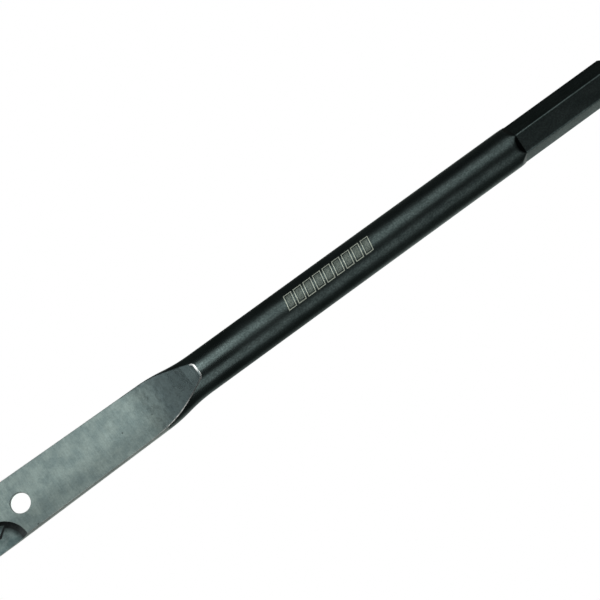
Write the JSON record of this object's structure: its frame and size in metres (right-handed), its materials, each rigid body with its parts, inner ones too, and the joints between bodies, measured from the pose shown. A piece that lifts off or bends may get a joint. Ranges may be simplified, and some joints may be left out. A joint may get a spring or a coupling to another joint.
{
  "type": "flat wood bit",
  "caption": "Flat wood-boring bit: hex quick-change shank, round shaft and a flat blade with a hanging hole, hollow-ground gullets, straight lips and a centre point.",
  "frame": {"origin": "centre of the flat end face of the hex shank, on the bit's axis", "axes": "+X along the bit's axis from the shank to the centre point; +Z square to the blade's face; +Y across the blade's width, completing a right-handed frame"},
  "size_m": [0.152, 0.01, 0.0074],
  "materials": {
    "black_oxide": "black oxide on forged steel, satin, slightly mottled",
    "ground_steel": "bare ground steel, fine scratches, slightly blotchy"
  },
  "bodies": {
    "root": {"hex_shank": "black_oxide", "shaft": "black_oxide", "neck": "black_oxide", "blade": "ground_steel", "cutting_head": "ground_steel", "centre_point": "ground_steel"}
  },
  "joints": []
}
